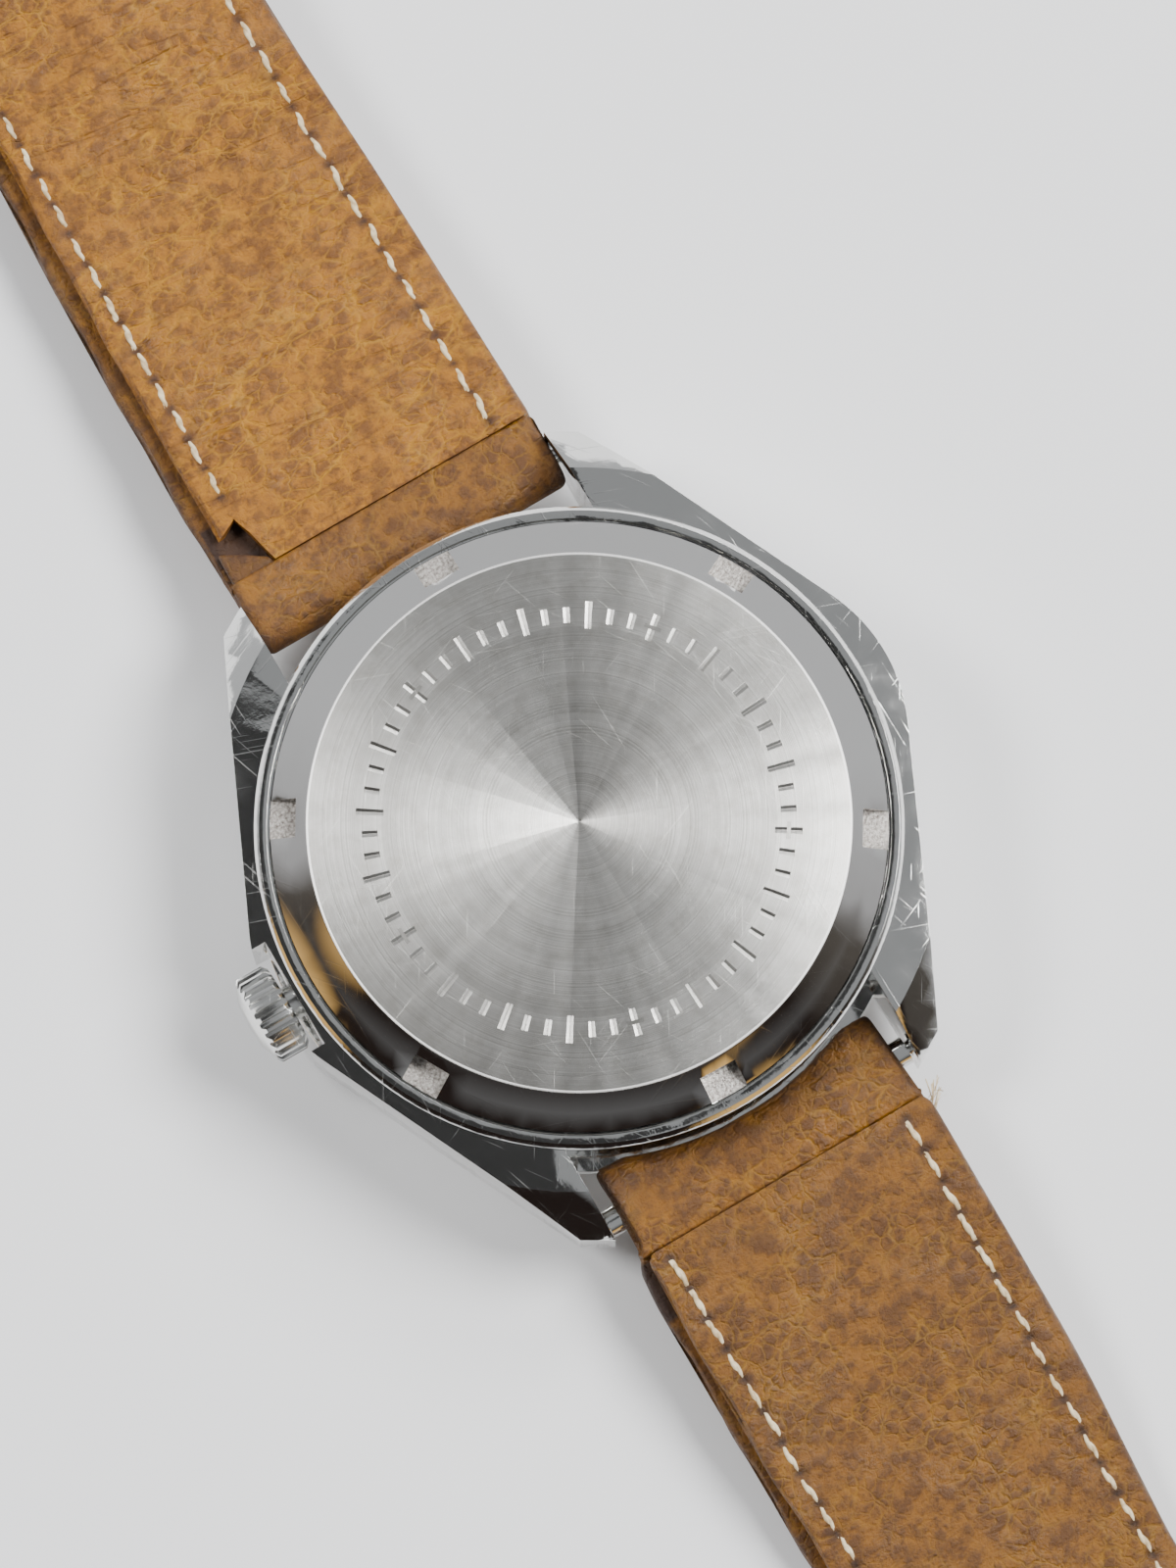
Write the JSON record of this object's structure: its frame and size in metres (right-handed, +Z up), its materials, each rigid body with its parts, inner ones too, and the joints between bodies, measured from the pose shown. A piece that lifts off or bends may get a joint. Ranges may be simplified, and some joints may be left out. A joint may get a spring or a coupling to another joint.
{
  "type": "wristwatch",
  "caption": "Round-backed steel wristwatch on a two-piece stitched leather strap, with screw back, fluted crown, hand-wound movement, keepers and pin buckle.",
  "frame": {"origin": "centre of the crystal's flat outer face, on which the watch lies", "axes": "+Z up through the case back, +Y along the strap towards 12 o'clock and the buckle, +X towards 9 o'clock, so the crown is at -X"},
  "size_m": [0.0375, 0.2329, 0.0105],
  "materials": {
    "case_steel": "polished, worn, fine scratches",
    "back_steel": "turned brushing with scratches",
    "crown_steel": "polished flutes, worn",
    "crystal_glass": "clear, flat",
    "gasket_plastic": "ivory",
    "gasket_rubber": "matt black",
    "movement_brass": "fine turned",
    "plate_nickel": "nickel-plated, grained",
    "movement_steel": "polished",
    "balance_gilt": "polished",
    "blued_steel": "heat-blued",
    "dial_enamel": "aged cream lacquer",
    "jewel_ruby": "polished ruby",
    "strap_leather": "tan grained leather, dark edges",
    "lining_leather": "tan creased leather",
    "thread": "cream twisted thread",
    "buckle_steel": "polished"
  },
  "bodies": {
    "case": {"case_body": "case_steel", "bezel_ring": "case_steel", "crystal": "crystal_glass", "crystal_gasket": "gasket_plastic", "case_back": "back_steel", "case_back_gasket": "gasket_rubber", "crown_tube": "crown_steel", "movement_ring": "movement_brass", "main_plate": "plate_nickel", "barrel_bridge": "plate_nickel", "train_bridge": "plate_nickel", "balance_cock": "plate_nickel", "pallet_bridge": "plate_nickel", "crown_wheel_screw": "movement_steel", "hairspring": "blued_steel", "regulator": "movement_steel", "dial": "dial_enamel", "hour_markers": "balance_gilt", "jewels": "jewel_ruby", "bridge_screws": "blued_steel", "spring_bar_12": "buckle_steel", "spring_bar_6": "buckle_steel"},
    "barrel": {"mainspring_barrel": "movement_brass", "mainspring": "movement_steel"},
    "ratchet": {"barrel_arbor": "movement_steel", "ratchet_wheel": "movement_steel", "ratchet_screw": "movement_steel"},
    "crown_wheel": {"crown_wheel": "movement_steel"},
    "click": {"click": "movement_steel"},
    "centre": {"centre_wheel": "movement_brass", "cannon_pinion": "movement_steel", "minute_hand": "blued_steel"},
    "third": {"third_wheel": "movement_brass"},
    "seconds": {"fourth_wheel": "movement_brass", "seconds_hand": "blued_steel"},
    "escape": {"escape_wheel": "movement_steel"},
    "pallet": {"pallet_fork": "movement_steel"},
    "balance": {"balance_wheel": "balance_gilt"},
    "minute_wheel": {"minute_wheel": "movement_brass"},
    "setting_wheel": {"setting_wheel": "movement_steel"},
    "hour": {"hour_wheel": "movement_brass", "hour_hand": "blued_steel"},
    "winding_pinion": {"winding_pinion": "movement_steel"},
    "crown": {"crown": "crown_steel", "winding_stem": "crown_steel", "crown_gasket": "gasket_rubber"},
    "clutch": {"clutch_wheel": "movement_steel"},
    "setting_lever": {"setting_lever": "movement_steel"},
    "yoke": {"yoke": "movement_steel"},
    "strap_12": {"strap_12_outer": "strap_leather", "strap_12_lining": "lining_leather", "strap_12_stitching": "thread", "fixed_keeper": "strap_leather"},
    "free_keeper": {"free_keeper": "strap_leather"},
    "buckle": {"buckle_frame": "buckle_steel", "buckle_bar": "buckle_steel"},
    "tongue": {"buckle_tongue": "buckle_steel"},
    "strap_6": {"strap_6_outer": "strap_leather", "strap_6_lining": "lining_leather", "strap_6_stitching": "thread"}
  },
  "joints": [
    {"name": "seconds_turn", "type": "hinge", "parent": "case", "child": "seconds", "pos_m": [0, -0.006, 0.006], "axis": [0, 0, 1], "continuous": true},
    {"name": "third_turn", "type": "hinge", "parent": "case", "child": "third", "pos_m": [-0.00315, -0.00322, 0.006], "axis": [0, 0, 1], "continuous": true},
    {"name": "centre_turn", "type": "hinge", "parent": "case", "child": "centre", "pos_m": [0, 0, 0.006], "axis": [0, 0, 1], "continuous": true},
    {"name": "barrel_turn", "type": "hinge", "parent": "case", "child": "barrel", "pos_m": [-0.00297, 0.00514, 0.006], "axis": [0, 0, 1], "continuous": true},
    {"name": "escape_turn", "type": "hinge", "parent": "case", "child": "escape", "pos_m": [0.0036, -0.006, 0.006], "axis": [0, 0, 1], "continuous": true},
    {"name": "minute_wheel_turn", "type": "hinge", "parent": "case", "child": "minute_wheel", "pos_m": [-0.00288, 0, 0.004], "axis": [0, 0, 1], "continuous": true},
    {"name": "setting_wheel_turn", "type": "hinge", "parent": "case", "child": "setting_wheel", "pos_m": [-0.006, 0, 0.004], "axis": [0, 0, 1], "continuous": true},
    {"name": "hour_turn", "type": "hinge", "parent": "case", "child": "hour", "pos_m": [0, 0, 0.0036], "axis": [0, 0, 1], "continuous": true},
    {"name": "crown_turn", "type": "hinge", "parent": "case", "child": "winding_pinion", "pos_m": [-0.0098, 0, 0.0058], "axis": [-1, 0, 0], "continuous": true},
    {"name": "crown_pull", "type": "slide", "parent": "winding_pinion", "child": "crown", "axis": [-1, 0, 0], "range_m": [0, 0.001]},
    {"name": "clutch_slide", "type": "slide", "parent": "winding_pinion", "child": "clutch", "axis": [1, 0, 0], "range_m": [0, 0.0005]},
    {"name": "setting_lever_turn", "type": "hinge", "parent": "case", "child": "setting_lever", "pos_m": [-0.0112, 0.0024, 0.00385], "axis": [0, 0, -1], "range_deg": [0, 25]},
    {"name": "yoke_turn", "type": "hinge", "parent": "case", "child": "yoke", "pos_m": [-0.00835, -0.0024, 0.00385], "axis": [0, 0, -1], "range_deg": [0, 12.5]},
    {"name": "crown_wheel_turn", "type": "hinge", "parent": "case", "child": "crown_wheel", "pos_m": [-0.0073, 0, 0.0077], "axis": [0, 0, 1], "continuous": true},
    {"name": "ratchet_turn", "type": "hinge", "parent": "case", "child": "ratchet", "pos_m": [-0.00297, 0.00514, 0.0077], "axis": [0, 0, 1], "continuous": true},
    {"name": "click_pivot", "type": "hinge", "parent": "case", "child": "click", "pos_m": [-0.00242, 0.01089, 0.0077], "axis": [0, 0, 1], "range_deg": [0, 6]},
    {"name": "pallet_rock", "type": "hinge", "parent": "case", "child": "pallet", "pos_m": [0.00583, -0.00466, 0.0065], "axis": [0, 0, 1], "range_deg": [-5, 5]},
    {"name": "balance_swing", "type": "hinge", "parent": "case", "child": "balance", "pos_m": [0.0076, -0.0036, 0.0072], "axis": [0, 0, 1], "range_deg": [-270, 270], "stiffness_Nm_per_rad": 0.0000001},
    {"name": "strap_12_swing", "type": "hinge", "parent": "case", "child": "strap_12", "pos_m": [0, 0.01785, 0.0046], "axis": [1, 0, 0], "range_deg": [-25, 80]},
    {"name": "strap_6_swing", "type": "hinge", "parent": "case", "child": "strap_6", "pos_m": [0, -0.01785, 0.0046], "axis": [-1, 0, 0], "range_deg": [-25, 80]},
    {"name": "keeper_slide", "type": "slide", "parent": "strap_12", "child": "free_keeper", "axis": [0, -1, 0], "range_m": [-0.004, 0.008]},
    {"name": "buckle_swing", "type": "hinge", "parent": "strap_12", "child": "buckle", "pos_m": [0, 0.08985, 0.0046], "axis": [1, 0, 0], "range_deg": [-70, 90]},
    {"name": "tongue_swing", "type": "hinge", "parent": "buckle", "child": "tongue", "pos_m": [0, 0.08985, 0.0046], "axis": [-1, 0, 0], "range_deg": [0, 95]}
  ],
  "couplings": [
    {"joint": "third_turn", "follows": "seconds_turn", "ratio": -0.13333},
    {"joint": "centre_turn", "follows": "seconds_turn", "ratio": 0.016667},
    {"joint": "barrel_turn", "follows": "seconds_turn", "ratio": -0.0020833},
    {"joint": "escape_turn", "follows": "seconds_turn", "ratio": -10},
    {"joint": "minute_wheel_turn", "follows": "seconds_turn", "ratio": -0.0055556},
    {"joint": "setting_wheel_turn", "follows": "seconds_turn", "ratio": 0.0125},
    {"joint": "hour_turn", "follows": "seconds_turn", "ratio": 0.0013889},
    {"joint": "crown_wheel_turn", "follows": "crown_turn", "ratio": -0.66667},
    {"joint": "ratchet_turn", "follows": "crown_turn", "ratio": 0.4},
    {"joint": "clutch_slide", "follows": "crown_pull", "ratio": 0.5},
    {"joint": "setting_lever_turn", "follows": "crown_pull", "rad_per_m": 429.77},
    {"joint": "yoke_turn", "follows": "crown_pull", "rad_per_m": 209.87}
  ]
}
